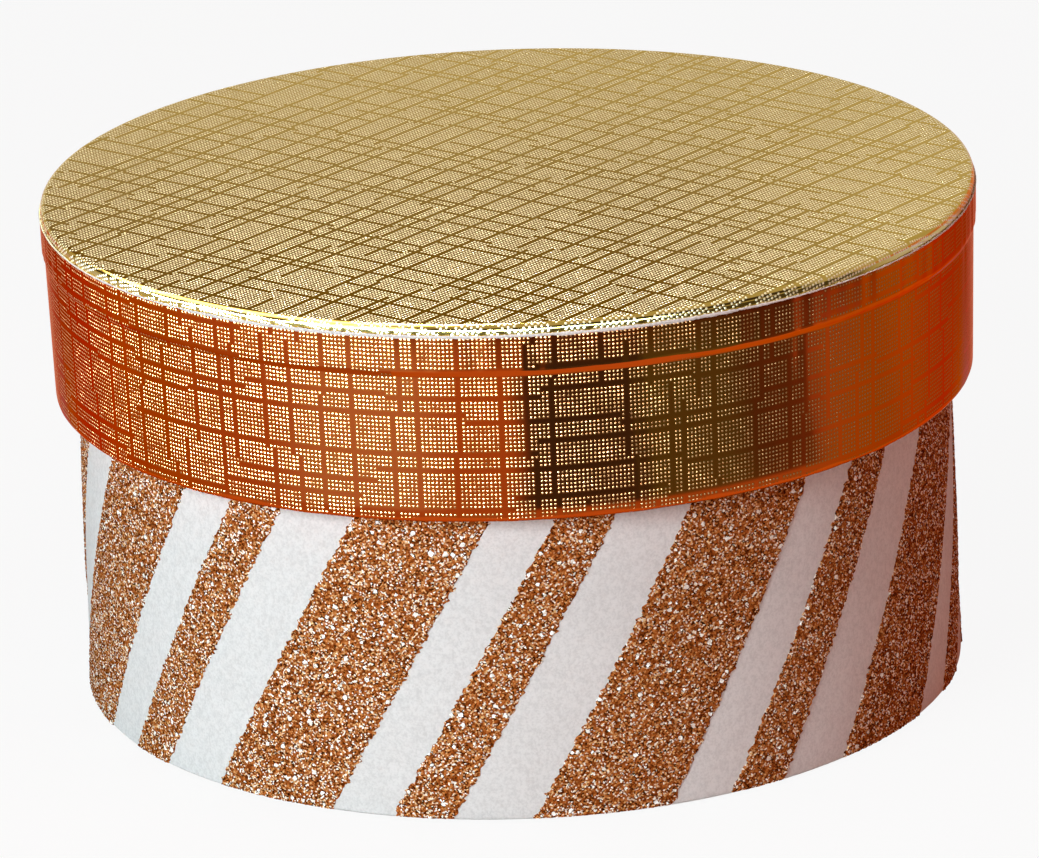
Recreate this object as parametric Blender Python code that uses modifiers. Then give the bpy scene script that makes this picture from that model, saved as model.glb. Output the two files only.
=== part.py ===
import math

import bmesh
import bpy

# Driving sizes of the closed box, in metres
lid_diameter = 0.120
closed_height = 0.0655
lid_height = 0.0253
lid_taper = 0.0005
base_flare = 0.0009

# Boards, papers and the thin layers between them
wall_board = 0.0012
end_board = 0.0018
wrap_paper = 0.00018
lining_paper = 0.00018
seam_tape = 0.0001
glue_gap = 0.00012

# Fits
lid_clearance = 0.00044
lid_seat_gap = 0.0003
board_joint = 0.0003

# Folds, hems and edges of the papers
top_fold_radius = 0.001
top_skirt_drop = 0.0059
raw_edge_drop = 0.0014
skirt_step_height = 0.0005
lid_turn_in = 0.012
rim_turn_in = 0.015
foot_hem = 0.012
lining_setback = 0.003
foot_cover_setback = 0.002
tape_width = 0.020

# Glitter stripes. Widths, middles at the foot and the sideways run up to the rim are shares of one repeat
stripe_thickness = 0.00022
repeats_round = 8.313
wide_share = 0.403
narrow_share = 0.177
wide_middle_share = -0.799
narrow_middle_share = -0.320
stripe_run_share = 0.8146
least_stripe_area = 0.000001

# How finely round shapes are cut
turn_steps = 64
fold_steps = 3

# Places that follow from the sizes
lid_radius = lid_diameter / 2
outer_layer = glue_gap + seam_tape + glue_gap
lining_layer = glue_gap + wrap_paper + glue_gap + lining_paper
paper_and_glue = wrap_paper + glue_gap
wrap_bend = glue_gap + wrap_paper / 2

lid_edge_z = closed_height - lid_height
band_top = lid_height - raw_edge_drop
skirt_end = lid_height - top_skirt_drop
lid_board_top = lid_height - paper_and_glue
lid_board_under = lid_board_top - end_board
lid_ceiling = lid_board_under - glue_gap - lining_paper
lid_board_radius = lid_radius - wrap_paper - paper_and_glue - outer_layer

lid_bore = lid_board_radius - lid_taper - wall_board - lining_layer
base_radius = lid_bore - lid_clearance - stripe_thickness - glue_gap
rim_z = lid_edge_z + lid_ceiling - lid_seat_gap
hem_z = lining_paper + glue_gap
base_board_z = hem_z + paper_and_glue
base_board_top = rim_z - paper_and_glue
floor_board_top = base_board_z + end_board
base_board_inset = wrap_paper + outer_layer
base_bore_inset = base_board_inset + wall_board
base_lining_inset = base_bore_inset + paper_and_glue + glue_gap
stripe_repeat = math.tau * base_radius / repeats_round


def lid_board_at(z):
    """Outer radius of the lid's rim board, z above the lid's lower edge."""
    return lid_board_radius - lid_taper * (band_top - z) / band_top


def base_at(z):
    """Radius over the base's wrap: straight inside the lid, spreading towards the foot."""
    below_lid = max(lid_edge_z - z, 0)
    return base_radius + base_flare * below_lid / lid_edge_z


def clear_scene():
    for old in list(bpy.data.objects):
        bpy.data.objects.remove(old, do_unlink=True)


def new_collection(name):
    group = bpy.data.collections.new(name)
    bpy.context.scene.collection.children.link(group)
    return group


def new_material(name, colour, roughness, metallic=0.0):
    finish = bpy.data.materials.new(name)
    finish.use_nodes = True
    shader = finish.node_tree.nodes["Principled BSDF"]
    shader.inputs["Base Color"].default_value = (*colour, 1.0)
    shader.inputs["Roughness"].default_value = roughness
    shader.inputs["Metallic"].default_value = metallic
    finish.diffuse_color = (*colour, 1.0)
    return finish


def new_empty(name, group, height):
    empty = bpy.data.objects.new(name, None)
    empty.location.z = height
    empty.empty_display_size = lid_radius
    group.objects.link(empty)
    return empty


def place(name, mesh, finish, holder, group):
    piece = bpy.data.objects.new(name, mesh)
    piece.parent = holder
    mesh.materials.append(finish)
    group.objects.link(piece)
    return piece


def shade_round(mesh):
    mesh.shade_smooth()
    mesh.set_sharp_from_angle(angle=math.radians(20))


def turned_mesh(name, outline, closed):
    """Turns an outline of (radius, height) points about Z. Its outer side runs from top to bottom."""
    profile = bpy.data.meshes.new(name)
    count = len(outline)
    last = count if closed else count - 1
    edges = [(i, (i + 1) % count) for i in range(last)]
    profile.from_pydata([(r, 0, z) for r, z in outline], edges, [])
    guide = bpy.data.objects.new(name, profile)
    bpy.context.scene.collection.objects.link(guide)
    turn = guide.modifiers.new("turn", "SCREW")
    turn.axis = "Z"
    turn.angle = math.tau
    turn.steps = turn_steps
    turn.render_steps = turn_steps
    turn.use_merge_vertices = True
    turn.merge_threshold = glue_gap / 10
    graph = bpy.context.evaluated_depsgraph_get()
    mesh = bpy.data.meshes.new_from_object(guide.evaluated_get(graph))
    bpy.data.objects.remove(guide)
    bpy.data.meshes.remove(profile)
    shade_round(mesh)
    return mesh


def disc_mesh(name, radius, low, thickness):
    shape = bmesh.new()
    made = bmesh.ops.create_cone(
        shape, cap_ends=True, segments=turn_steps, radius1=radius, radius2=radius, depth=thickness
    )
    bmesh.ops.translate(shape, verts=made["verts"], vec=(0, 0, low + thickness / 2))
    mesh = bpy.data.meshes.new(name)
    shape.to_mesh(mesh)
    shape.free()
    shade_round(mesh)
    return mesh


def wall_outline(heights, radius_at, inset, thickness):
    """Section of a plain wall, through the given heights from the top down."""
    outside = [(radius_at(z) - inset, z) for z in heights]
    inside = [(r - thickness, z) for r, z in reversed(outside)]
    return outside + inside


def sheet_outline(path, thickness):
    """Section of a sheet that follows the path, with its thickness on the right of the way it runs."""
    ends = list(zip(path[:-1], path[1:]))
    sides = []
    for (r0, z0), (r1, z1) in ends:
        length = math.hypot(r1 - r0, z1 - z0)
        sides.append(((z1 - z0) / length, (r0 - r1) / length))
    inside = []
    for i, (r, z) in enumerate(path):
        before = sides[max(i - 1, 0)]
        after = sides[min(i, len(sides) - 1)]
        mitre = thickness / (1 + before[0] * after[0] + before[1] * after[1])
        inside.append((r + mitre * (before[0] + after[0]), z + mitre * (before[1] + after[1])))
    return path + inside[::-1]


def rounded(path_end, centre, radius):
    """Quarter turn from straight up to straight out, about a centre, ending at path_end's side."""
    arc = []
    for i in range(fold_steps + 1):
        angle = math.pi / 2 * (1 - i / fold_steps)
        arc.append((centre[0] + radius * math.cos(angle), centre[1] + radius * math.sin(angle)))
    return arc + [path_end]


def cut_board_joint(piece, radius, height, middle, holder, cutters):
    """Opens the butt joint at the back, where the ends of the rolled board meet."""
    shape = bmesh.new()
    made = bmesh.ops.create_cube(shape, size=1)
    depth = 4 * wall_board
    bmesh.ops.scale(shape, verts=made["verts"], vec=(board_joint, depth, 2 * height))
    mesh = bpy.data.meshes.new(piece.name + "_joint")
    shape.to_mesh(mesh)
    shape.free()
    cutter = bpy.data.objects.new(piece.name + "_joint", mesh)
    cutter.location = (0, radius - wall_board / 2, middle)
    cutter.parent = holder
    cutter.display_type = "WIRE"
    cutter.hide_render = True
    cutters.objects.link(cutter)
    cut = piece.modifiers.new("butt joint", "BOOLEAN")
    cut.operation = "DIFFERENCE"
    cut.solver = "EXACT"
    cut.object = cutter


def rolled_sheet_mesh(name, edges_at, low, high, radius_at):
    """Wraps a flat four-sided sheet round the wall, on the flats that the turned wall has.

    edges_at gives the sheet's two edges round the wall at a height. What passes the back, where
    the wrap's own length ends, is cut off. Returns None if that is all of it.
    """
    shape = bmesh.new()
    bmesh.ops.create_grid(shape, x_segments=1, y_segments=1, size=1)
    for corner in shape.verts:
        height = low if corner.co.y < 0 else high
        corner.co = (edges_at(height)[0 if corner.co.x < 0 else 1], height, 0)
    half_round = math.pi * base_radius
    flat = 2 * half_round / turn_steps
    for side in (-1, 1):
        cut_flat(shape, (side * half_round, 0, 0), (side, 0, 0), True)
    for i in range(-turn_steps // 2, turn_steps // 2):
        cut_flat(shape, (i * flat, 0, 0), (1, 0, 0), False)
    cut_flat(shape, (0, lid_edge_z, 0), (0, 1, 0), False)
    if sum(face.calc_area() for face in shape.faces) < least_stripe_area:
        shape.free()
        return None
    for point in shape.verts:
        angle = point.co.x / base_radius
        height = point.co.y
        radius = radius_at(height)
        point.co = (radius * math.sin(angle), -radius * math.cos(angle), height)
    mesh = bpy.data.meshes.new(name)
    shape.to_mesh(mesh)
    shape.free()
    shade_round(mesh)
    return mesh


def cut_flat(shape, point, across, trim):
    bmesh.ops.bisect_plane(
        shape,
        geom=shape.verts[:] + shape.edges[:] + shape.faces[:],
        plane_co=point,
        plane_no=across,
        clear_outer=trim,
    )


def thicken(piece, thickness):
    body = piece.modifiers.new("thickness", "SOLIDIFY")
    body.thickness = thickness
    body.offset = 1


def build_tape(name, low, high, radius_at, finish, holder, group):
    """Strip over the butt joint at the back, half of it on each side."""
    mesh = rolled_sheet_mesh(name, lambda z: (-tape_width / 2, tape_width / 2), low, high, radius_at)
    tape = place(name, mesh, finish, holder, group)
    tape.rotation_euler.z = math.pi
    thicken(tape, seam_tape)


def build_stripes(name, share, middle, finish, holder, group):
    """Leaning stripes round the base. The pattern is printed flat, so it breaks at the wrap's seam."""
    reach = math.ceil(repeats_round)
    number = 0
    for i in range(-reach, reach + 1):
        left = (middle - share / 2 + i) * stripe_repeat

        def edges_at(z, left=left):
            lean = stripe_run_share * stripe_repeat * z / rim_z
            return left + lean, left + lean + share * stripe_repeat

        mesh = rolled_sheet_mesh(
            f"{name}_{number + 1}", edges_at, hem_z + wrap_bend, rim_z - wrap_bend,
            lambda z: base_at(z) + glue_gap
        )
        if mesh is None:
            continue
        number += 1
        thicken(place(mesh.name, mesh, finish, holder, group), stripe_thickness)


def build_base(group, cutters, greyboard, white_paper, tape_finish, glitter):
    base = new_empty("base", group, 0)

    # Rolled greyboard wall, its butt joint at the back and the tape over that joint
    heights = [base_board_top, lid_edge_z, base_board_z]
    outline = wall_outline(heights, base_at, base_board_inset, wall_board)
    wall = place("base_wall_board", turned_mesh("base_wall_board", outline, True), greyboard, base, group)
    cut_board_joint(wall, base_radius - base_board_inset, closed_height, closed_height / 2, base, cutters)
    build_tape("base_wall_seam_tape", base_board_z, base_board_top,
               lambda z: base_at(z) - base_board_inset + glue_gap, tape_finish, base, group)

    # Bottom board, pushed up inside the wall
    radius = base_at(floor_board_top) - base_bore_inset - glue_gap
    mesh = disc_mesh("base_bottom_board", radius, base_board_z, end_board)
    place("base_bottom_board", mesh, greyboard, base, group)

    # White wrap: hemmed under the foot, up the wall, over the rim and down inside
    foot = base_at(0)
    inner = base_radius - base_bore_inset - paper_and_glue
    path = [
        (inner, rim_z - rim_turn_in),
        (inner, rim_z - wrap_bend),
        (inner + wrap_bend, rim_z),
        (base_radius - wrap_bend, rim_z),
        (base_radius, rim_z - wrap_bend),
        (base_radius, lid_edge_z),
        (foot, hem_z + wrap_bend),
        (foot - wrap_bend, hem_z),
        (foot - foot_hem, hem_z),
    ]
    mesh = turned_mesh("base_outer_paper", sheet_outline(path, wrap_paper), True)
    place("base_outer_paper", mesh, white_paper, base, group)

    # Cover under the foot, which the box stands on, and the linings of floor and wall
    mesh = disc_mesh("base_bottom_paper", foot - foot_cover_setback, 0, lining_paper)
    place("base_bottom_paper", mesh, white_paper, base, group)
    low = floor_board_top + glue_gap
    heights = [rim_z - lining_setback, lid_edge_z, low]
    outline = wall_outline(heights, base_at, base_lining_inset, lining_paper)
    mesh = turned_mesh("base_wall_lining", outline, True)
    place("base_wall_lining", mesh, white_paper, base, group)
    radius = base_at(low + lining_paper) - base_lining_inset - lining_paper - glue_gap
    mesh = disc_mesh("base_floor_lining", radius, low, lining_paper)
    place("base_floor_lining", mesh, white_paper, base, group)

    build_stripes("glitter_stripe_wide", wide_share, wide_middle_share, glitter, base, group)
    build_stripes("glitter_stripe_narrow", narrow_share, narrow_middle_share, glitter, base, group)
    return base


def build_lid(group, cutters, greyboard, foil, lining, tape_finish):
    lid = new_empty("lid", group, lid_edge_z)

    # Rolled greyboard rim. Its outer top corner is crushed round, under the foil's fold
    corner = max(top_fold_radius - wrap_paper - outer_layer, glue_gap)
    low = paper_and_glue
    top = lid_board_at(lid_board_top)
    outline = [(top - corner, lid_board_top)]
    outline += wall_outline([lid_board_top - corner, low], lid_board_at, 0, wall_board)[:-1]
    outline.append((top - wall_board, lid_board_top))
    rim = place("lid_rim_board", turned_mesh("lid_rim_board", outline, True), greyboard, lid, group)
    cut_board_joint(rim, lid_board_radius, lid_height, lid_height / 2, lid, cutters)
    build_tape("lid_rim_seam_tape", low, lid_board_top - corner,
               lambda z: lid_board_at(z) + glue_gap, tape_finish, lid, group)

    # Top board, let into the rim and flush with it
    radius = lid_board_at(lid_board_under) - wall_board - glue_gap
    mesh = disc_mesh("lid_top_board", radius, lid_board_under, end_board)
    place("lid_top_board", mesh, greyboard, lid, group)

    # Top foil: one disc folded down over the edge, its skirt under the band
    skirt = lid_board_radius + outer_layer + wrap_paper
    skirt_low = lid_board_at(skirt_end) + outer_layer + wrap_paper
    centre = (skirt - top_fold_radius, lid_height - top_fold_radius)
    path = [(0, lid_height)] + rounded((skirt_low, skirt_end), centre, top_fold_radius)
    outline = sheet_outline(path, wrap_paper)
    place("lid_top_foil", turned_mesh("lid_top_foil", outline, False), foil, lid, group)

    # Band: raw edge below the fold, over the skirt, stepped in below it, turned in at the lower edge
    over_skirt = outer_layer + wrap_paper + paper_and_glue
    over_board = outer_layer + wrap_paper
    step_z = skirt_end - glue_gap
    inner_inset = wall_board + paper_and_glue
    path = [
        (lid_board_at(band_top) + over_skirt, band_top),
        (lid_board_at(step_z) + over_skirt, step_z),
        (lid_board_at(step_z - skirt_step_height) + over_board, step_z - skirt_step_height),
        (lid_board_at(wrap_bend) + over_board, wrap_bend),
        (lid_board_at(0) + over_board - wrap_bend, 0),
        (lid_board_at(0) - inner_inset + wrap_bend, 0),
        (lid_board_at(wrap_bend) - inner_inset, wrap_bend),
        (lid_board_at(lid_turn_in) - inner_inset, lid_turn_in),
    ]
    mesh = turned_mesh("lid_rim_foil", sheet_outline(path, wrap_paper), True)
    place("lid_rim_foil", mesh, foil, lid, group)

    # Linings of the lid's wall and ceiling
    inset = inner_inset + glue_gap
    outline = wall_outline([lid_board_under - glue_gap, lining_setback], lid_board_at, inset, lining_paper)
    mesh = turned_mesh("lid_rim_lining", outline, True)
    place("lid_rim_lining", mesh, lining, lid, group)
    radius = lid_board_at(lid_ceiling) - inset - lining_paper - glue_gap
    mesh = disc_mesh("lid_top_lining", radius, lid_ceiling, lining_paper)
    place("lid_top_lining", mesh, lining, lid, group)
    return lid


def main():
    clear_scene()
    group = new_collection("round_gift_box")
    cutters = new_collection("cutters")
    greyboard = new_material("greyboard", (0.36, 0.33, 0.29), 0.9)
    white_paper = new_material("white_paper", (0.82, 0.82, 0.81), 0.75)
    tape_finish = new_material("kraft_tape", (0.50, 0.34, 0.19), 0.6)
    glitter = new_material("copper_glitter", (0.48, 0.22, 0.09), 0.45, 0.7)
    foil = new_material("gold_foil", (0.60, 0.36, 0.11), 0.3, 0.9)
    build_base(group, cutters, greyboard, white_paper, tape_finish, glitter)
    build_lid(group, cutters, greyboard, foil, white_paper, tape_finish)


main()
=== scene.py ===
import math

import bpy
import numpy as np
from mathutils import Matrix, Vector


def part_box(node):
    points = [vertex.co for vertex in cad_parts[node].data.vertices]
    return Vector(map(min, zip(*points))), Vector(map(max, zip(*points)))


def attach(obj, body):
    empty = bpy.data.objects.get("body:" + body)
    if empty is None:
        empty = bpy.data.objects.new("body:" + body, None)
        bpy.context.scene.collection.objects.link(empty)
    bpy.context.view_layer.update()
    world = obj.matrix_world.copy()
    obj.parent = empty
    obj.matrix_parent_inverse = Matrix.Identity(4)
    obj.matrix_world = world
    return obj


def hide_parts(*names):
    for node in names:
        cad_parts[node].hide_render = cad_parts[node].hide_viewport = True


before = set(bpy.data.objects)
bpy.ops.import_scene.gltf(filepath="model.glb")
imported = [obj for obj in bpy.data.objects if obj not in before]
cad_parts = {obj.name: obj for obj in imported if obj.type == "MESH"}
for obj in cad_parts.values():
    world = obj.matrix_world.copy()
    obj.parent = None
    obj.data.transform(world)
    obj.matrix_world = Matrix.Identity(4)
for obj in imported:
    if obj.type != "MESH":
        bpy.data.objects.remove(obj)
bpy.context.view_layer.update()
print("frame loaded:", len(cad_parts), "nodes")

mm = 0.001
fullTurn = math.tau
backTurn = -math.pi  # every sheet starts and ends at the back
flatMap = "flatSheet"  # where a point lies on the flat sheet, in metres
bakeMap = "OFBake"  # the same faces laid out without overlaps

lidEdge = 40.2 * mm  # height of the lid's lower edge on the base
baseRadius = 56.1 * mm  # over the wrap, inside the lid
footSpread = 0.9 * mm  # how much wider the foot is
rimHeight = 62.8 * mm
hemHeight = 0.3 * mm
sharpFold = math.radians(50)  # edges that turn more than this are drawn sharp


def baseAt(height):
    below = np.maximum(lidEdge - height, 0) / lidEdge
    return baseRadius + footSpread * below


class Wire:  # an output socket that can be used in plain expressions
    def __init__(self, sheet, socket):
        self.sheet = sheet
        self.socket = socket

    def maths(self, operation, *values):
        return self.sheet.add("ShaderNodeMath", {"operation": operation}, dict(enumerate(values)))

    def __add__(self, other):
        return self.maths("ADD", self, other)

    def __radd__(self, other):
        return self.maths("ADD", other, self)

    def __sub__(self, other):
        return self.maths("SUBTRACT", self, other)

    def __rsub__(self, other):
        return self.maths("SUBTRACT", other, self)

    def __mul__(self, other):
        return self.maths("MULTIPLY", self, other)

    def __rmul__(self, other):
        return self.maths("MULTIPLY", other, self)

    def __truediv__(self, other):
        return self.maths("DIVIDE", self, other)

    def __rtruediv__(self, other):
        return self.maths("DIVIDE", other, self)

    def __lt__(self, other):
        return self.maths("LESS_THAN", self, other)

    def __gt__(self, other):
        return self.maths("GREATER_THAN", self, other)

    def __abs__(self):
        return self.maths("ABSOLUTE", self)

    def __floor__(self):
        return self.maths("FLOOR", self)

    def most(self, other):
        return self.maths("MAXIMUM", self, other)

    def output(self, name):
        return Wire(self.sheet, self.socket.node.outputs[name])


class NodeSheet:
    def __init__(self, tree):
        self.tree = tree
        tree.nodes.clear()

    def add(self, kind, settings=None, sockets=None, output=0):
        node = self.tree.nodes.new(kind)
        for name, value in (settings or {}).items():
            if name == "stops":
                self.setStops(node.color_ramp, value)
            else:
                setattr(node, name, value)
        for name, value in (sockets or {}).items():
            if isinstance(value, Wire):
                self.tree.links.new(value.socket, node.inputs[name])
            else:
                node.inputs[name].default_value = value
        return Wire(self, node.outputs[output]) if node.outputs else node

    def setStops(self, ramp, stops):  # stops run from 0 to 1
        for place, colour in stops[1:-1]:
            ramp.elements.new(place)
        for element, (place, colour) in zip(ramp.elements, stops):
            element.position = place
            element.color = colour

    def parts(self, vector):
        whole = self.add("ShaderNodeSeparateXYZ", None, {0: vector})
        return whole, whole.output("Y"), whole.output("Z")

    def vector(self, x, y, z=0.0):
        return self.add("ShaderNodeCombineXYZ", None, {0: x, 1: y, 2: z})

    def vectorMaths(self, operation, first, second=None, output=0):
        sockets = {0: first} if second is None else {0: first, 1: second}
        if operation == "SCALE":
            sockets = {0: first, "Scale": second}
        return self.add("ShaderNodeVectorMath", {"operation": operation}, sockets, output)

    def mix(self, share, first, second, kind="RGBA"):
        sockets = {"RGBA": (6, 7, 2), "FLOAT": (2, 3, 0)}[kind]
        return self.add("ShaderNodeMix", {"data_type": kind},
                        {0: share, sockets[0]: first, sockets[1]: second}, sockets[2])

    def ease(self, value, start, end, low=0.0, high=1.0):  # smooth step from start to end
        return self.add("ShaderNodeMapRange", {"interpolation_type": "SMOOTHSTEP"},
                        {0: value, 1: start, 2: end, 3: low, 4: high})

    def chance(self, x, y, seed):  # one random number for each whole x and y
        return self.add("ShaderNodeTexWhiteNoise", {"noise_dimensions": "3D"},
                        {"Vector": self.vector(x, y, seed)})

    def cells(self, vector, size):
        return self.add("ShaderNodeTexVoronoi", {"voronoi_dimensions": "2D"},
                        {"Vector": vector, "Scale": 1 / size})

    def noise(self, vector, size, detail=2.0, rough=0.5):
        return self.add("ShaderNodeTexNoise", {"noise_dimensions": "3D"},
                        {"Vector": vector, "Scale": 1 / size, "Detail": detail, "Roughness": rough})

    def ramp(self, value, stops):
        return self.add("ShaderNodeValToRGB", {"stops": stops}, {0: value})

    def bump(self, height, distance, strength):
        return self.add("ShaderNodeBump", None,
                        {"Height": height, "Distance": distance, "Strength": strength})

    def glow(self, colour):
        return self.add("ShaderNodeEmission", None, {"Color": colour, "Strength": 1.0})

    def close(self, share, first, second, kind="Material"):
        both = self.add("ShaderNodeMixShader", None, {0: share, 1: first, 2: second})
        self.add("ShaderNodeOutput" + kind, None, {"Surface": both})


def addObject(name, data):
    made = bpy.data.objects.new(name, data)
    bpy.context.scene.collection.objects.link(made)
    return made


def linear(red, green, blue):  # a colour as a screen shows it, 0 to 255
    def one(value):
        share = value / 255
        return share / 12.92 if share <= 0.04045 else ((share + 0.055) / 1.055) ** 2.4
    return (one(red), one(green), one(blue), 1.0)


def newFinish(name):
    material = bpy.data.materials.new(name)
    material.use_nodes = True
    return material, NodeSheet(material.node_tree)


def closeFinish(sheet, sockets):
    shader = sheet.add("ShaderNodeBsdfPrincipled", None, sockets)
    sheet.add("ShaderNodeOutputMaterial", None, {"Surface": shader})


def flatPlace(sheet):
    return sheet.add("ShaderNodeUVMap", {"uv_map": flatMap})


def objectPlace(sheet):
    return sheet.add("ShaderNodeTexCoord", output="Object")


foil = {
    "pitch": 0.514 * mm,  # from dot to dot of the embossing
    "columnGroup": 8,  # one column in this many is left smooth
    "columnRun": 29,
    "columnPlaces": 6,
    "rowGroup": 7,
    "rowRun": 37,
    "rowPlaces": 5,
    "lineShare": 0.92,  # how many of those lines are there
    "lineRough": 0.08,
    "groundRough": 0.11,
    "slopeRange": (0.75, 0.7),  # the least share of a dot's slope, and what chance adds to it
    "softEdge": 0.08 * mm,  # of the bands without dots
    "driftSize": 9 * mm,
    "swaySize": 2.6 * mm,
    "wornSize": 6 * mm,
    "wornReach": (0.3, 0.7, 0.6, 1.0),  # the noise it runs over, and the least and most of it
}

# painted reflection: the band is the same gold foil paper as the top, but its colours are drawn orange,
# standing in for the orange tabletop it mirrors
bandLook = {
    "turn": 0.0,
    "line": linear(158, 57, 12),
    "worn": linear(149, 62, 12),
    "dot": linear(124, 84, 50),
    "dotRadius": 0.245,
    "dotSoft": 0.06,
    "dotMetal": 1.0,
    "dotRough": 0.36,
    "dotSlope": 0.35,  # at a dot's edge
    "dotLean": 0.26,
    "sway": 0.75,  # the sheet's own unevenness, which dims whole patches of dots
    "edge": (0.70, 0.38, 0.26, 1.0),
    # painted reflection: the smooth bands are drawn brighter than the lines, for the pale floor they mirror
    # near the box
    "plain": linear(182, 68, 14),
    "smooth": [  # bands without dots along the sheet: middle, half width, waver, where it starts
        (32.9 * mm, 0.44 * mm, 0.4 * mm, -15 * mm),  # over the skirt's end
        (13.2 * mm, 1.0 * mm, 1.0 * mm, -190 * mm),  # round the lower edge
    ],
}

topLook = {
    "turn": math.radians(51.5),
    "line": linear(166, 135, 63),
    "worn": linear(170, 141, 74),
    # painted highlight: the dots are drawn pale and mostly not metallic, standing in for the light their
    # domes catch; the glint lamp adds real glints
    "dot": linear(232, 216, 172),
    "dotRadius": 0.31,
    "dotSoft": 0.08,
    "dotMetal": 0.2,
    "dotRough": 0.3,
    "dotSlope": 0.35,
    "dotLean": 0.1,
    "sway": 0.0,
    "edge": (0.9, 0.8, 0.55, 1.0),
    "plain": linear(166, 135, 63),
    "smooth": [],
}


def tiltedNormal(sheet, tiltX, tiltY):
    # the surface's normal leaning along the flat sheet's two directions
    normal = sheet.add("ShaderNodeNewGeometry", output="Normal")
    along = sheet.add("ShaderNodeTangent", {"direction_type": "UV_MAP", "uv_map": flatMap})
    aside = sheet.vectorMaths("CROSS_PRODUCT", normal, along)
    lean = sheet.vectorMaths("ADD", sheet.vectorMaths("SCALE", along, tiltX),
                             sheet.vectorMaths("SCALE", aside, tiltY))
    return sheet.vectorMaths("NORMALIZE", sheet.vectorMaths("ADD", normal, lean))


def smoothLines(sheet, across, along, group, run, places, seed):
    # which cells belong to a smooth line: one place in each group, changed from run to run
    block = math.floor(across / group)
    shift = sheet.chance(block, 0.0, seed) * run
    piece = math.floor((along + shift) / run)
    chosen = math.floor(sheet.chance(block, piece, seed + 1) * places)
    there = sheet.chance(block, piece, seed + 2) < foil["lineShare"]
    return (abs(across - block * group - chosen) < 0.5) * there


def makeFoil(name, look):
    material, sheet = newFinish(name)
    x, y, _ = sheet.parts(flatPlace(sheet))
    sine = math.sin(look["turn"])
    cosine = math.cos(look["turn"])
    across = (x * cosine + y * sine) / foil["pitch"]
    along = (y * cosine - x * sine) / foil["pitch"]
    column = math.floor(across)
    row = math.floor(along)
    upright = smoothLines(sheet, column, row, foil["columnGroup"], foil["columnRun"],
                          foil["columnPlaces"], 3.5)
    level = smoothLines(sheet, row, column, foil["rowGroup"], foil["rowRun"], foil["rowPlaces"], 7.5)
    line = upright.most(level)
    offCentre = sheet.vector(across - column - 0.5, along - row - 0.5)
    away = sheet.vectorMaths("LENGTH", offCentre, output=1)
    dot = sheet.ease(away, look["dotRadius"] + look["dotSoft"], look["dotRadius"] - look["dotSoft"])
    plain = 0 * x
    for middle, half, waver, first in look["smooth"]:
        drift = (sheet.noise(sheet.vector(x, middle), foil["driftSize"], 1) - 0.5) * waver
        pressed = sheet.ease(abs(y - middle + drift), half + foil["softEdge"], half - foil["softEdge"])
        plain = plain.most(pressed * (x > first))
    dot = dot * (1 - line.most(plain))
    least, more = foil["slopeRange"]
    slope = look["dotSlope"] / look["dotRadius"] * (least + sheet.chance(column, row, 11.5) * more)
    leftRight, upDown, _ = sheet.parts(offCentre)
    leanX = (sheet.chance(column, row, 15.5) - 0.5) * look["dotLean"]
    leanY = (sheet.chance(column, row, 17.5) - 0.5) * look["dotLean"]
    if look["sway"]:
        swayX, swayY, _ = sheet.parts(sheet.noise(sheet.vector(x, y), foil["swaySize"], 2).output("Color"))
        leanX = leanX + (swayX - 0.5) * look["sway"]
        leanY = leanY + (swayY - 0.5) * look["sway"]
    tiltX = ((leftRight * cosine - upDown * sine) * slope + leanX) * dot
    tiltY = ((leftRight * sine + upDown * cosine) * slope + leanY) * dot
    worn = sheet.noise(sheet.vector(x, y), foil["wornSize"], 3)
    ground = sheet.mix(sheet.ease(worn, *foil["wornReach"]), look["line"], look["worn"])
    # on the band, the plain colour paints the smooth bands brighter than the lines: a painted reflection of
    # the pale floor near the box
    flat = sheet.mix(plain, sheet.mix(line, ground, look["line"]), look["plain"])
    colour = sheet.mix(dot, flat, look["dot"])
    closeFinish(sheet, {
        "Base Color": colour,
        "Metallic": 1 - dot * (1 - look["dotMetal"]),
        "Roughness": sheet.mix(dot, sheet.mix(line, foil["groundRough"], foil["lineRough"], "FLOAT"),
                               look["dotRough"], "FLOAT"),
        "Specular Tint": look["edge"],
        "Normal": tiltedNormal(sheet, tiltX, tiltY),
    })
    return material


glitter = {
    "grain": 0.19 * mm,
    "tilt": 0.55,
    "tones": [  # of the grains; the near-white ones at the top are painted glints
        (0.0, linear(36, 12, 2)),
        (0.15, linear(104, 44, 8)),
        (0.47, linear(158, 79, 28)),
        (0.71, linear(192, 118, 58)),
        (0.845, linear(228, 181, 121)),
        (0.92, linear(255, 246, 226)),
        (1.0, linear(255, 250, 238)),
    ],
    "flake": 1.3 * mm,  # one bright flake, a painted glint, or none, in a cell of this size
    "noFlake": 0.4,  # the share of cells with none
    "flakeReach": (0.06, 0.2),  # the least, and what chance adds to it
    "flakeGlintColour": linear(255, 250, 238),
    "shadowReach": 0.08,  # the dark grains round a flake
    "noShadow": 0.55,
    "shadowColour": linear(66, 44, 16),
    "ragged": (0.3 * mm, 0.5 * mm),  # size and depth of the flakes' uneven outline
    "metallic": 0.012,
    "rough": (0.3, 0.3),  # the least, and what chance adds to it
}


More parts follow.
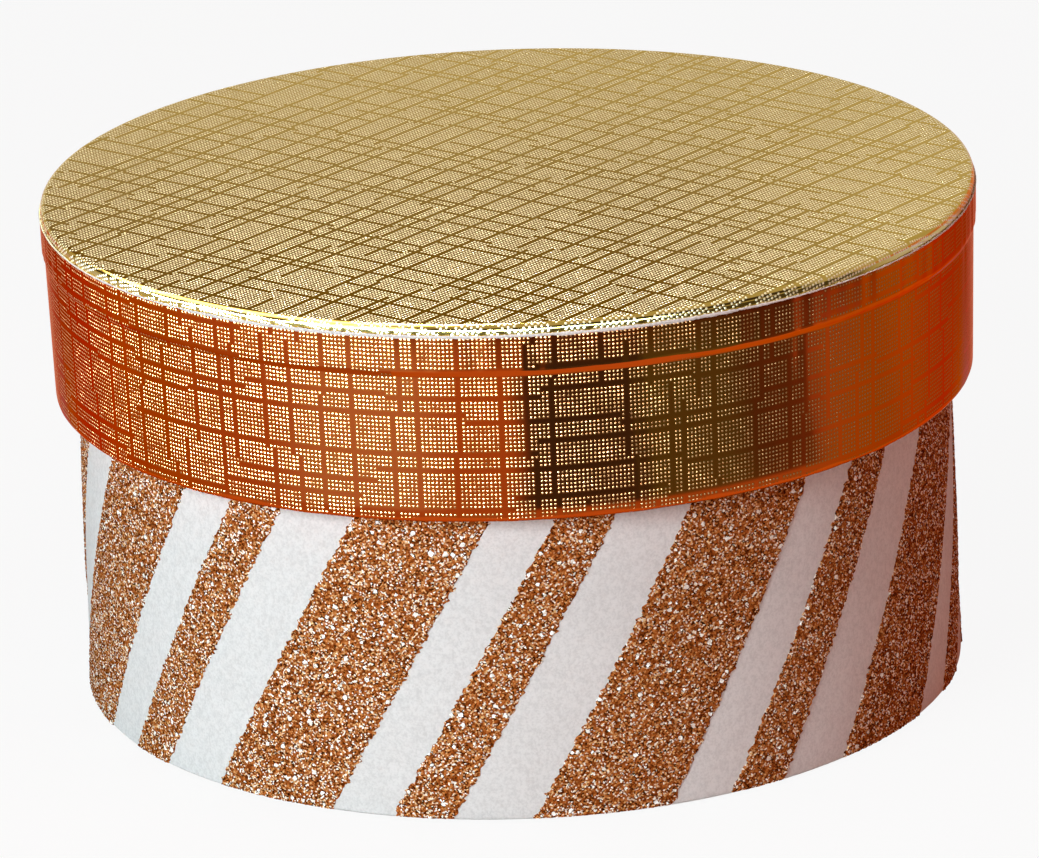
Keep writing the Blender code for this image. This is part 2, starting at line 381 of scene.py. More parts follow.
def makeGlitter():
    look = glitter
    material, sheet = newFinish("copperGlitter")
    place = flatPlace(sheet)
    grains = sheet.cells(place, look["grain"])
    tone, second, third = sheet.parts(grains.output("Color"))
    colour = sheet.ramp(tone, look["tones"])
    middle = (0.5, 0.5, 0.5)
    raggedSize, raggedDepth = look["ragged"]
    wobble = sheet.noise(place, raggedSize, 1).output("Color")
    shaken = sheet.vectorMaths("SCALE", sheet.vectorMaths("SUBTRACT", wobble, middle), raggedDepth)
    flakes = sheet.cells(sheet.vectorMaths("ADD", place, shaken), look["flake"])
    pick, size, _ = sheet.parts(flakes.output("Color"))
    least, more = look["flakeReach"]
    there = pick > look["noFlake"]
    reach = (least + size * size * size * more) * there
    # painted glints: flakes drawn near white, standing in for the light that tilted flakes catch
    flakeGlint = flakes < reach
    shadowed = (flakes < reach + look["shadowReach"]) * (second > look["noShadow"]) * there - flakeGlint
    colour = sheet.mix(shadowed.most(0.0), colour, look["shadowColour"])
    colour = sheet.mix(flakeGlint, colour, look["flakeGlintColour"])
    spread = sheet.vectorMaths("SUBTRACT", grains.output("Color"), middle)
    tilted = sheet.vectorMaths("SCALE", spread, look["tilt"])
    normal = sheet.add("ShaderNodeNewGeometry", output="Normal")
    facing = sheet.vectorMaths("NORMALIZE", sheet.vectorMaths("ADD", normal, tilted))
    leastRough, moreRough = look["rough"]
    closeFinish(sheet, {
        "Base Color": colour,
        "Metallic": look["metallic"],
        "Roughness": leastRough + third * moreRough,
        "Specular IOR Level": 0.0,
        "Normal": facing,
    })
    return material


paperLooks = {  # base and speck colours, roughness, size of the grain and depth of its relief
    "whiteWrap": (linear(240, 240, 239), linear(216, 216, 215), 0.62, 0.3 * mm, 0.02 * mm),
    "liningPaper": (linear(233, 231, 226), linear(222, 219, 212), 0.8, 0.5 * mm, 0.02 * mm),
    "rawPaper": (linear(243, 240, 238), linear(205, 196, 192), 0.9, 0.22 * mm, 0.05 * mm),
    "greyboard": (linear(158, 150, 138), linear(126, 118, 106), 0.92, 0.7 * mm, 0.05 * mm),
    "kraftTape": (linear(186, 150, 108), linear(160, 122, 82), 0.7, 0.6 * mm, 0.03 * mm),
}

fibres = {  # sizes as multiples of a paper's own grain
    "size": 2.2,
    "stretch": (1.0, 1.0, 0.8),
    "broadSize": 14,
    "share": 0.4,  # of the fibres in the specks, the rest is fine grain
    "broadShare": 0.3,
    "speckReach": (0.38, 0.66),
    "roughSpread": 0.1,
    "relief": 0.5,  # of the fibres over the fine grain
    "strength": 0.6,  # of the relief
}


def makePaper(name, base, speck, rough, grain, depth):
    look = fibres
    material, sheet = newFinish(name)
    place = objectPlace(sheet)
    fine = sheet.noise(place, grain, 3, 0.6)
    broad = sheet.noise(place, grain * look["broadSize"], 2)
    fibre = sheet.noise(sheet.vectorMaths("MULTIPLY", place, look["stretch"]), grain * look["size"], 2)
    share = sheet.ease(fine * (1 - look["share"]) + fibre * look["share"], *look["speckReach"])
    share = share * (1 - look["broadShare"]) + broad * look["broadShare"]
    closeFinish(sheet, {
        "Base Color": sheet.mix(share, base, speck),
        "Roughness": rough + fine * look["roughSpread"],
        "Specular IOR Level": 0.0,
        "Normal": sheet.bump(fine + fibre * look["relief"], depth, look["strength"]),
    })
    return material


finishes = {name: makePaper(name, *look) for name, look in paperLooks.items()}
finishes["bandFoilPaintedReflection"] = makeFoil("bandFoilPaintedReflection", bandLook)
finishes["topFoil"] = makeFoil("topFoil", topLook)
finishes["copperGlitter"] = makeGlitter()
print("finishes made:", ", ".join(finishes))


def smoothStep(value, start, end):
    share = np.clip((value - start) / (end - start), 0, 1)
    return share * share * (3 - 2 * share)


def waves(angle, seed, counts, height):
    # uneven but closed round the turn: sines with whole counts, and random heights and places
    draw = np.random.default_rng(seed)
    total = np.zeros_like(angle)
    for count in counts:
        total += draw.uniform(0.4, 1) * np.sin(count * angle + draw.uniform(0, fullTurn))
    return total * height / len(counts) ** 0.5


def facesBetween(low, high):
    # corners as (ring, column), between rings of the same count or of half the count
    if low == high:
        return [((0, j), (0, j + 1), (1, j + 1), (1, j)) for j in range(low)]
    faces = []
    for k in range(high):
        faces.append(((0, 2 * k), (0, 2 * k + 1), (1, k)))
        faces.append(((0, 2 * k + 1), (1, k + 1), (1, k)))
        faces.append(((0, 2 * k + 1), (0, 2 * k + 2), (1, k + 1)))
    return faces


def roundSheet(name, section, columns, thickness, bend=None, rows=0):
    # section runs up and inwards along the sheet's good side, as (radius, height)
    section = np.array(section)
    counts = columns if isinstance(columns, list) else [columns] * len(section)
    steps = np.diff(section, axis=0)
    lengths = np.hypot(steps[:, 0], steps[:, 1])
    along = np.concatenate([[0], np.cumsum(lengths)])
    facing = np.stack([steps[:, 1], -steps[:, 0]], 1) / lengths[:, None]
    before = np.vstack([facing[:1], facing])
    after = np.vstack([facing, facing[-1:]])
    mitre = (before + after) / (1 + (before * after).sum(1))[:, None]
    points = []
    firsts = {}
    total = 0
    for side in (0, 1):
        for i, (radius, height) in enumerate(section):
            angle = backTurn + np.arange(counts[i]) * fullTurn / counts[i]
            out, up = bend(angle, i, along[i], radius, height) if bend else (0, 0)
            reach = radius + out - side * thickness * mitre[i, 0]
            level = height + up - side * thickness * mitre[i, 1] + 0 * angle
            points.append(np.stack([reach * np.sin(angle), -reach * np.cos(angle), level], 1))
            firsts[side, i] = total
            total += counts[i]
    faces = []
    corners = []  # turn, place along the sheet, side and share of the edge for each face corner
    last = len(section) - 1

    def addStrip(low, high, side, flip, places, lifts=(0, 0)):
        rings = (low, high)
        for face in facesBetween(counts[low[1]], counts[high[1]]):
            face = face[::-1] if flip else face
            faces.append([firsts[rings[ring]] + j % counts[rings[ring][1]] for ring, j in face])
            corners.extend((j / counts[rings[ring][1]], places[ring], side, lifts[ring])
                           for ring, j in face)

    for side in (0, 1):
        for i in range(last):
            addStrip((side, i), (side, i + 1), side, side == 1, (along[i], along[i + 1]))
    addStrip((1, 0), (0, 0), 2, False, (0, 0), (1, 0))
    if rows:
        addStrip((0, last), (1, last), 3, False, (along[-1], along[-1]), (0, 1))
    else:  # a disc closes at its middle
        for side in (0, 1):
            ring = counts[last]
            centre = points[side * (last + 1) + last][:, 2].mean()
            points.append(np.array([[0, 0, centre]]))
            full = along[-1] + section[-1, 0]
            for j in range(ring):
                face = [firsts[side, last] + j, firsts[side, last] + (j + 1) % ring, total]
                spots = [(j / ring, along[-1]), ((j + 1) / ring, along[-1]), ((j + 0.5) / ring, full)]
                faces.append(face[::-1] if side else face)
                corners.extend((turn, place, side, 0) for turn, place in (spots[::-1] if side else spots))
            total += 1
    whole = along[-1] + (0 if rows else section[-1, 0])
    mesh = bpy.data.meshes.new(name)
    mesh.from_pydata(np.vstack(points).tolist(), [], faces)
    writeMaps(mesh, np.array(corners, float), whole, rows, section)
    mesh.shade_smooth()
    mesh.set_sharp_from_angle(angle=sharpFold)
    return mesh


def addMaps(mesh, flat, baked):
    for name, values in ((flatMap, flat), (bakeMap, baked)):
        layer = mesh.uv_layers.new(name=name)
        layer.data.foreach_set("uv", values.astype(np.float32).ravel())


bakeLayout = {  # shares of the square that the bake map fills
    "left": 0.004,
    "width": 0.992,
    "front": (0.02, 0.96),  # where a row of the good side starts, and its height, in rows
    "frontHeight": 0.86,
    "back": (0.02, 0.94),
    "backStart": 0.87,
    "backHeight": 0.09,
    "firstEdge": 0.968,
    "lastEdge": 0.984,
    "edgeHeight": 0.01,
    "disc": (0.5, 0.49),  # middle and radius of a disc's good side, then of its back
    "discBack": (0.07, 0.055),
    "discEdge": 0.012,
}


def writeMaps(mesh, corners, whole, rows, section):
    look = bakeLayout
    turn, place, side, lift = corners.T
    sizes = np.array([p.loop_total for p in mesh.polygons])
    firstCorner = np.concatenate([[0], np.cumsum(sizes)[:-1]])
    faceTurn = np.repeat(np.add.reduceat(turn, firstCorner) / sizes, sizes)
    angle = backTurn + turn * fullTurn
    share = place / whole

    def inRow(start, height):
        return (row + start + height * share) / rows

    if rows:
        flat = np.stack([angle * section[:, 0].max(), place], 1)
        row = np.floor(faceTurn * rows)
        u = look["left"] + look["width"] * (turn * rows - row)
        front = inRow(*look["front"]) * look["frontHeight"]
        back = look["backStart"] + inRow(*look["back"]) * look["backHeight"]
        v = np.where(side == 0, front, back)
        v = np.where(side == 2, look["firstEdge"] + look["edgeHeight"] * lift, v)
        v = np.where(side == 3, look["lastEdge"] + look["edgeHeight"] * lift, v)
        u = np.where(side >= 2, look["left"] + look["width"] * turn, u)
        baked = np.stack([u, v], 1)
    else:
        reach = whole - place
        heading = np.stack([np.sin(angle), -np.cos(angle)], 1)
        flat = heading * reach[:, None]
        middle, radius = (np.where(side == 1, *pair) for pair in zip(look["discBack"], look["disc"]))
        scale = radius * (reach / whole + look["discEdge"] * lift)
        baked = middle[:, None] + heading * scale[:, None]
    addMaps(mesh, flat, baked)


discNet = {
    "middle": 2 * mm,  # the innermost ring isn't smaller than this
    "narrow": 0.55,  # faces narrower than this share of their length are paired
    "fewest": 45,
    "growth": 1.25,  # from ring to ring
}


def discRings(radius, height, columns, steps):
    # rings from an edge to the middle, halving their columns as they get short
    step, longest = steps
    section, counts = [], []
    while radius > discNet["middle"]:
        section.append((radius, height))
        counts.append(columns)
        narrow = fullTurn * radius / columns < step * discNet["narrow"]
        if narrow and columns > discNet["fewest"] and columns % 2 == 0:
            columns //= 2
        radius -= step
        step = min(step * discNet["growth"], longest)
    return section, counts


def addPiece(name, mesh, finish, body, slot, *replaced):
    piece = addObject(name, mesh)
    mesh.materials.append(finishes[finish])
    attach(piece, body)
    if replaced:
        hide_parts(*replaced)


def corner(centre, radius, first, last, count):
    # part of a rounded fold, as points from one angle to another, in degrees from straight out
    angles = np.radians(np.linspace(first, last, count))
    return [(centre[0] + radius * math.cos(a), centre[1] + radius * math.sin(a)) for a in angles]


lidTop = {
    "columns": 1440,
    "height": 65.5 * mm,
    "skirtRadius": 59.7 * mm,
    "skirt": [(59.61, 59.6), (59.63, 61), (59.65, 62.2), (59.67, 63.1), (59.69, 63.7), (59.7, 64.2)],  # mm
    "fold": 0.75 * mm,
    "sheet": 0.18 * mm,
    "pleatSpace": (1.1 * mm, 2.6 * mm),
    "pleatDepth": 0.05 * mm,
    "pleatWidth": 0.32 * mm,
    "pleatSag": 0.15,  # how much of a pleat shows on the flat top
    "wobble": 0.03 * mm,
    "dip": 0.03 * mm,
    "dipSize": 9 * mm,
    "dipFade": (59 * mm, 57 * mm),
    "rings": (0.35 * mm, 2.6 * mm),  # first and longest step between them
}


def pleatLine(angle):
    # gathers where the disc's edge is folded down, as a radial offset for each angle
    look = lidTop
    draw = np.random.default_rng(11)
    radius = look["skirtRadius"]
    place = -math.pi
    total = np.zeros_like(angle)
    while place < math.pi:
        depth = look["pleatDepth"] * draw.uniform(0.15, 1) ** 1.5
        width = look["pleatWidth"] * draw.uniform(0.7, 1.5) / radius
        gap = (angle - place + math.pi) % fullTurn - math.pi
        total -= depth * np.exp(-(gap / width) ** 2)
        place += draw.uniform(*look["pleatSpace"]) / radius
    return total


def buildLidTop():
    look = lidTop
    centre = (look["skirtRadius"] - look["fold"], look["height"] - look["fold"])
    section = [(radius * mm, height * mm) for radius, height in look["skirt"]]
    section += corner(centre, look["fold"], 0, 90, 10)
    counts = [look["columns"]] * len(section)
    rings, halved = discRings(centre[0] - 0.3 * mm, look["height"], look["columns"], look["rings"])
    section += rings
    counts += halved

    def bend(angle, i, along, radius, height):
        gathers = pleatLine(angle)
        folded = smoothStep(height, look["height"] + 0.02 * mm, centre[1] + 0.1 * mm)
        if radius < centre[0]:
            folded = 0 * angle
        left = 0.05 + 0.95 * smoothStep(-np.sin(angle + 0.1), -0.1, 0.4)  # where the gathers show
        out = gathers * folded * left + waves(angle, 4, (3, 7, 13, 22), look["wobble"]) * folded
        x = radius * np.sin(angle) / look["dipSize"]
        y = -radius * np.cos(angle) / look["dipSize"]
        uneven = np.sin(x * 2.1 + np.sin(y * 1.3)) * np.sin(y * 1.7 + 1 + np.sin(x * 0.9))
        dip = (0.5 + 0.5 * uneven) * look["dip"] * smoothStep(radius, *look["dipFade"])
        inwards = smoothStep(radius, centre[0] - 1.6 * mm, centre[0])
        sag = gathers * look["pleatSag"] * inwards * left
        return out, -dip + sag * (1 - folded)

    mesh = roundSheet("lidTopFoil", section, counts, look["sheet"], bend)
    addPiece("lidTopFoil", mesh, "topFoil", "lid", "gold_foil_paper", "lid_top_foil")


lidBand = {
    "columns": 960,
    "sheet": 0.18 * mm,
    "top": 64.1 * mm,
    "topRadius": 59.9 * mm,
    "ridge": 59.3 * mm,
    "edgeRadius": 59.2 * mm,
    "edgeFold": 0.42 * mm,
    "inside": 57.18 * mm,
    "turnIn": 12 * mm,
    "lapAngle": math.radians(158),
    "lap": 0.14 * mm,
    "levels": (42.2, 44.2, 46.2, 48.2, 50.2, 52.2, 54.2, 56, 57.4, 58.3, 58.8),  # mm
    "lean": 0.36 * mm,  # outwards from the lower edge to the ridge
    "step": [(59.57, 59.0), (59.63, 59.15), (59.73, 59.32), (59.81, 59.5), (59.845, 59.7), (59.855, 60.1)],
    "skirtLevels": (60.8, 61.6, 62.4, 63.1, 63.6, 63.9),
    "skirtRadius": 59.86 * mm,  # at 60 mm
    "skirtLean": 0.01,
    "kinks": [  # turn and depth in mm
        (-0.077, 0.07), (-0.52, 0.05), (-0.94, 0.06), (0.33, 0.05), (0.62, 0.04), (1.3, 0.05),
    ],
    "kinkWidth": 0.012,
    "kinkFade": (49 * mm, 57 * mm),
    "flutes": 0.035 * mm,
    "broad": 0.03 * mm,
    "lift": 0.14 * mm,
    "dents": 0.03 * mm,
}


def buildLidBand():
    look = lidBand
    fold = look["edgeFold"]
    outer = corner((look["edgeRadius"] - fold, lidEdge + fold), fold, -90, 0, 7)
    inner = corner((look["inside"] + fold, lidEdge + fold), fold, -180, -90, 6)
    section = [(look["inside"] - 0.1 * mm, lidEdge + look["turnIn"]),
               (look["inside"], lidEdge + 3.5 * mm)] + inner + outer
    for height in look["levels"]:
        rise = (height * mm - lidEdge) / (look["ridge"] - lidEdge)
        section.append((look["edgeRadius"] + look["lean"] * rise, height * mm))
    section += [(radius * mm, height * mm) for radius, height in look["step"]]
    for height in look["skirtLevels"]:
        section.append((look["skirtRadius"] + (height - 60) * mm * look["skirtLean"], height * mm))
    section.append((look["topRadius"], look["top"]))

    def bend(angle, i, along, radius, height):
        outside = smoothStep(radius, 58.4 * mm, 59 * mm)
        skirt = smoothStep(height, 58.9 * mm, 59.8 * mm) * outside
        flutes = waves(angle, 21, (61, 83, 97, 118, 139), look["flutes"]) * skirt
        broad = waves(angle, 5, (5, 9, 14, 23, 31), look["broad"]) * outside
        creases = sum(-depth * mm * np.exp(-((angle - place) / look["kinkWidth"]) ** 2)
                      for place, depth in look["kinks"])
        creases = creases * outside * smoothStep(height, *look["kinkFade"])
        lap = look["lap"] * smoothStep(look["lapAngle"] - angle, 0.12, 0.1) * (angle < look["lapAngle"])
        lift = waves(angle, 8, (4, 11, 19, 37), look["lift"]) * skirt
        lift = lift * smoothStep(height, 61 * mm, 59.5 * mm)
        dent = waves(angle, 9, (17, 29, 43, 71), look["dents"]) * smoothStep(height, 41.2 * mm, lidEdge)
        return flutes + broad - look["broad"] * outside + creases + lap * outside, lift + dent * outside

    mesh = roundSheet("lidBandFoil", section, look["columns"], look["sheet"], bend, rows=4)
    addPiece("lidBandFoil", mesh, "bandFoilPaintedReflection", "lid", "gold_foil_paper", "lid_rim_foil")


rawEdge = {
    "columns": 1920,
    "low": 63.89 * mm,
    "high": 64.29 * mm,
    "radius": 59.93 * mm,
    "thickness": 0.16 * mm,
    "fray": 0.035 * mm,
    "fuzz": 0.012 * mm,
    "uneven": 0.06 * mm,
    "heights": (0.5, 0.55),  # the share of its height at the back, and what the front adds
}


def buildRawEdge():
    look = rawEdge
    middle = (look["low"] + look["high"]) / 2
    section = [(look["radius"] - 0.06 * mm, look["low"]), (look["radius"], look["low"] + 0.08 * mm),
               (look["radius"] + 0.02 * mm, middle), (look["radius"], look["high"] - 0.1 * mm),
               (look["radius"] - 0.06 * mm, look["high"])]
    draw = np.random.default_rng(31)
    fray = draw.normal(0, look["fray"], look["columns"])
    fuzz = draw.normal(0, look["fuzz"], (len(section), look["columns"]))
    least, more = look["heights"]

    def bend(angle, i, along, radius, height):
        away = height - middle
        reach = np.where(away > 0, 1.0, 0.8) * np.abs(away) / (0.25 * mm)
        taller = waves(angle, 41, (9, 23, 57, 91, 160), look["uneven"])
        front = smoothStep(angle, -1.0, -0.6) * smoothStep(-angle, -0.8, -0.3)
        up = away * (front * more + least - 1) + (fray + taller * np.sign(away)) * reach
        return fuzz[i] - 0.01 * mm, up

    mesh = roundSheet("lidRawEdge", section, look["columns"], look["thickness"], bend, rows=4)
    addPiece("lidRawEdge", mesh, "rawPaper", "lid", "gold_foil_paper")


wrap = {
    "columns": 960,
    "sheet": 0.18 * mm,
    "foot": 57.0 * mm,
    "hem": 12 * mm,
    "footFold": 0.45 * mm,
    "rimFold": 0.5 * mm,
    "inner": 54.08 * mm,
    "turnIn": 15 * mm,
    "lap": 0.12 * mm,
    "lapWidth": 9 * mm,
    "levels": (2, 5, 9, 14, 20, 26, 32, 37, 40.2, 44, 50, 56, 60, 61.6),  # mm
    "waves": 0.04 * mm,
    "tucks": 0.03 * mm,
}


def wrapLift(angle):
    # the wrap's end lies over its start at the back
    start = math.pi - wrap["lapWidth"] / baseRadius
    return wrap["lap"] * smoothStep(angle, start - 0.02, start)


def wallWaves(angle, height):
    return waves(angle, 51, (3, 5, 8, 13, 21), wrap["waves"]) * smoothStep(height, 0, 8 * mm)


def buildWrap():
    look = wrap
    foot = look["foot"]
    fold = look["footFold"]
    rim = look["rimFold"]
    section = [(foot - look["hem"], hemHeight), (foot - 3 * mm, hemHeight), (foot - 1.2 * mm, hemHeight)]
    section += corner((foot - fold, hemHeight + fold), fold, -90, 0, 6)
    for height in look["levels"]:
        section.append((float(baseAt(height * mm)), height * mm))
    section += corner((baseRadius - rim, rimHeight - rim), rim, 0, 90, 6)
    section += corner((look["inner"] + rim, rimHeight - rim), rim, 90, 180, 6)
    section += [(look["inner"], rimHeight - 3 * mm), (look["inner"], rimHeight - look["turnIn"])]

    def bend(angle, i, along, radius, height):
        outside = smoothStep(radius, 55.6 * mm, 56 * mm) * (height > hemHeight + 0.1 * mm)
        tucks = waves(angle, 57, (120, 151, 187), look["tucks"]) * (height < hemHeight + 0.02 * mm)
        return (wrapLift(angle) + wallWaves(angle, height)) * outside, np.abs(tucks)

    mesh = roundSheet("baseWrap", section, look["columns"], look["sheet"], bend, rows=2)
    addPiece("baseWrap", mesh, "whiteWrap", "base", "white_paper", "base_outer_paper")


stripes = {
    "repeatsRound": 8.313,
    "wide": (0.403, -0.799),  # width and middle at the foot, as shares of a repeat
    "narrow": (0.177, -0.320),
    "run": 0.8146,
    "low": 0.51 * mm,
    "high": 62.59 * mm,
    "grid": 0.31 * mm,
    "ragged": 0.17 * mm,
    "relief": (0.05 * mm, 0.26 * mm),
    "leastArea": 1e-6,
    "leastWidth": 0.3 * mm,
    "shift": 0.33,  # of the grid's points, as shares of a face
    "lift": 0.3,
    "edgeRelief": 0.45,
    "sunk": 0.02 * mm,  # into the wrap
    "backGap": 0.02 * mm,
    "front": (0.02, 0.7),  # start and width of the raised side in the bake map, then of the under side
    "under": (0.76, 0.22),
    "tall": (0.02, 0.96),
    "edge": 0.008,
}


def stripeEdges(kind, number, heights):
    share, middle = stripes[kind]
    repeat = fullTurn * baseRadius / stripes["repeatsRound"]
    left = (middle - share / 2 + number) * repeat + stripes["run"] * repeat * heights / rimHeight
    half = math.pi * baseRadius
    return np.clip(left, -half, half), np.clip(left + share * repeat, -half, half)


def stripeMesh(name, kind, number, seed):
    look = stripes
    draw = np.random.default_rng(seed)
    rows = round((look["high"] - look["low"]) / look["grid"])
    heights = np.linspace(look["low"], look["high"], rows + 1)
    left, right = stripeEdges(kind, number, heights)
    kept = right - left > look["leastWidth"]
    heights, left, right = heights[kept], left[kept], right[kept]
    columns = max(2, round((right - left).max() / look["grid"]))
    shape = (len(heights), columns + 1)
    shift, lift = look["shift"], look["lift"]
    share = np.linspace(0, 1, columns + 1)[None, :] + draw.uniform(-shift, shift, shape) / columns
    share[:, 0] = draw.normal(0, 1, shape[0]) * look["ragged"] / (right - left)
    share[:, -1] = 1 + draw.normal(0, 1, shape[0]) * look["ragged"] / (right - left)
    half = math.pi * baseRadius - look["backGap"]
    across = np.clip(left[:, None] + share * (right - left)[:, None], -half, half)
    level = heights[:, None] + draw.uniform(-lift, lift, shape) * look["grid"]
    level[0] = heights[0]
    level[-1] = heights[-1]
    relief = draw.uniform(*look["relief"], shape)
    relief[:, [0, -1]] *= look["edgeRelief"]
    angle = across / baseRadius
    under = baseAt(level) + wrapLift(angle) + wallWaves(angle, level) - look["sunk"]
    points = []
    for radius in (under + relief + look["sunk"], under):
        points.append(np.stack([radius * np.sin(angle), -radius * np.cos(angle), level], 2).reshape(-1, 3))
    wide = columns + 1
    faces, corners = [], []
    top = np.arange(shape[0] * wide).reshape(shape)

    def addFace(face, side):
        faces.append([int(v) for v in face])
        corners.extend((v % top.size, side) for v in faces[-1])

    for i in range(shape[0] - 1):
        for j in range(columns):
            square = (top[i, j], top[i, j + 1], top[i + 1, j + 1], top[i + 1, j])
            addFace(square, 0)
            addFace([v + top.size for v in square[::-1]], 1)
    ring = [*top[0, :], *top[1:, -1], *top[-1, -2::-1], *top[-2:0:-1, 0]]
    for a, b in zip(ring, ring[1:] + ring[:1]):
        addFace((a, a + top.size, b + top.size, b), 2)
    mesh = bpy.data.meshes.new(name)
    mesh.from_pydata(np.vstack(points).tolist(), [], faces)
    index, side = np.array(corners).T
    flat = np.stack([across.ravel()[index], level.ravel()[index]], 1)
    i, j = np.divmod(index, wide)
    u, v = j / columns, i / (shape[0] - 1)
    below = np.array([x >= top.size for face in faces for x in face])
    outward = np.stack([np.where(j == 0, -1, np.where(j == columns, 1, 0)),
                        np.where(i == 0, -1, np.where(i == shape[0] - 1, 1, 0))], 1)
    low, tall = look["tall"]

    def laidOut(start, width):
        return np.stack([start + width * u, low + tall * v], 1)

    baked = laidOut(*look["front"])
    baked += outward * look["edge"] * (below & (side == 2))[:, None]
    baked[side == 1] = laidOut(*look["under"])[side == 1]
    addMaps(mesh, flat, baked)
    return mesh


def buildStripes():
    heights = np.linspace(stripes["low"], stripes["high"], 200)
    reach = math.ceil(stripes["repeatsRound"])
    for kind in ("wide", "narrow"):
        made = 0
        for number in range(-reach, reach + 1):
            left, right = stripeEdges(kind, number, heights)
            if np.mean(right - left) * (stripes["high"] - stripes["low"]) < stripes["leastArea"]:
                continue
            made += 1
            name = f"glitterStripe{kind.capitalize()}{made}"
            mesh = stripeMesh(name, kind, number, 100 * len(kind) + made)
            addPiece(name, mesh, "copperGlitter", "base", "copper_glitter", f"glitter_stripe_{kind}_{made}")
        print(kind, "stripes:", made)


linings = {
    "sheet": 0.18 * mm,
    "columns": 360,
    "rows": 12,
    "taper": 0.48 * mm,  # of the lid's wall, inwards to its lower edge
    "waves": 0.02 * mm,
    "cut": 0.08 * mm,  # unevenness of the upper edge
    "rings": (0.6 * mm, 4 * mm),
}


def wallLining(name, node, finish, slot, body):
    low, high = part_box(node)
    section = []
    spread = footSpread if body == "base" else 0
    straight = high.x - spread * max(lidEdge - low.z, 0) / lidEdge - linings["sheet"]
    for level in np.linspace(high.z, low.z, linings["rows"]):
        if body == "base":
            radius = straight + spread * max(lidEdge - level, 0) / lidEdge
        else:
            radius = straight - linings["taper"] * (high.z - level) / (high.z - low.z)
        section.append((radius, level))

    def bend(angle, i, along, radius, height):
        edge = smoothStep(height, high.z - 2 * mm, high.z)
        cut = np.abs(waves(angle, 64, (7, 15, 31), linings["cut"])) * edge
        return waves(angle, 63, (4, 9, 17), linings["waves"]), -cut

    mesh = roundSheet(name, section, linings["columns"], linings["sheet"], bend, rows=2)
    addPiece(name, mesh, finish, body, slot, node)


def disc(name, node, finish, slot, body):
    low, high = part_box(node)
    section, counts = discRings(high.x, high.z, linings["columns"], linings["rings"])
    mesh = roundSheet(name, section, counts, high.z - low.z)
    addPiece(name, mesh, finish, body, slot, node)


buildLidTop()
buildLidBand()
buildRawEdge()
print("lid foils made")
buildWrap()
buildStripes()
wallLining("baseWallLining", "base_wall_lining", "liningPaper", "lining_paper", "base")
wallLining("lidRimLining", "lid_rim_lining", "liningPaper", "lining_paper", "lid")
disc("baseFloorLining", "base_floor_lining", "liningPaper", "lining_paper", "base")
disc("baseFootPaper", "base_bottom_paper", "whiteWrap", "white_paper", "base")
disc("lidCeilingLining", "lid_top_lining", "liningPaper", "lining_paper", "lid")
print("base papers made")

for name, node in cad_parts.items():
    if node.hide_render:
        continue
    finish = "kraftTape" if name.endswith("seam_tape") else "greyboard"
    node.data.materials.clear()
    node.data.materials.append(finishes[finish])


studio = {
    "floorColour": linear(206, 206, 204),
    "floorSize": 4.0,
    "floorWhite": 0.92,
    "white": (1, 1, 1, 1),
    "front": (0.105, 0.112, 0.12, 1.0),
    "right": (0.61, 0.09, 0.0, 1.0),
    "rightHeading": (0.9, -0.1),
    "rightReach": (0.1, 0.9),
}


def seenShare(sheet):  # 1 for rays that see something straight, mirrored or through, which find white
    path = sheet.add("ShaderNodeLightPath")
    return path.most(path.output("Is Glossy Ray")).most(path.output("Is Transmission Ray"))


def buildFloor():
    mesh = bpy.data.meshes.new("floor")
    size = studio["floorSize"]
    corners = [(x * size, y * size, 0) for x, y in ((-1, -1), (1, -1), (1, 1), (-1, 1))]
    mesh.from_pydata(corners, [], [(0, 1, 2, 3)])
    floor = addObject("floor", mesh)
    material, sheet = newFinish("floor")
    plain = sheet.add("ShaderNodeBsdfDiffuse", None, {"Color": studio["floorColour"]})
    sheet.close(seenShare(sheet) * studio["floorWhite"], plain, sheet.glow(studio["white"]))
    mesh.materials.append(material)


def addCard(name, points, faces):
    # a plain sheet that only reflections see
    mesh = bpy.data.meshes.new(name)
    mesh.from_pydata(points, [], faces)
    card = addObject(name, mesh)
    for ray in ("camera", "diffuse", "transmission", "volume_scatter", "shadow"):
        setattr(card, "visible_" + ray, False)
    material, sheet = newFinish(name)
    mesh.materials.append(material)
    return sheet


def closeCard(sheet, edges, colour):
    sheet.close(edges, sheet.add("ShaderNodeBsdfTransparent"), sheet.glow(colour))


cardLift = 0.4 * mm  # of the lying cards off the floor

# the cards' turns are in degrees from straight in front, their limits in radians
frontCard = {  # on the floor in front: a pale patch at the left, dark and streaked at the right
    "near": 0.140,
    "far": 0.460,
    "turn": (-62, 104),
    "steps": 64,
    "ragged": 0.16,  # of the limits
    "raggedScale": (9, 30),
    "streakScale": (7, 3),
    "streakSpan": 1.2,
    "streakShift": 0.5,
    "nearFade": (0.144, 0.154),
    "darkStart": (-0.06, 0.05),
    "darkEnd": (0.06, -0.10),  # beyond the turn that darkReach gives
    "darkReach": (0.202, 0.214, 1.2, 1.5),
    "paleStart": (-0.98, -0.66),
    "paleEnd": (-0.18, -0.42),
    "paleShare": 0.75,
    "farReach": (0.228, 0.240),
    "farSteps": [(-0.95, -0.75, 0.72), (-0.56, -0.42, 0.28)],
    "farEnd": (0.2, 0.1),
    "change": -0.12,  # from pale to streaks
    "pale": (1.22, 2.45, 6.2, 1),
    "beyond": (0.14, 0.12, 0.08, 1),
    "streaks": [  # from straight in front to the right
        (0.0, (0.09, 0.22, 0.6, 1)),
        (0.34, (0.10, 0.24, 0.6, 1)),
        (0.42, (0.20, 0.66, 0.7, 1)),
        (0.64, (0.22, 0.60, 0.7, 1)),
        (0.78, (0.20, 0.3, 0.4, 1)),
        (0.9, (0.30, 0.33, 0.45, 1)),
        (1.0, (0.76, 0.64, 1.2, 1)),
    ],
}

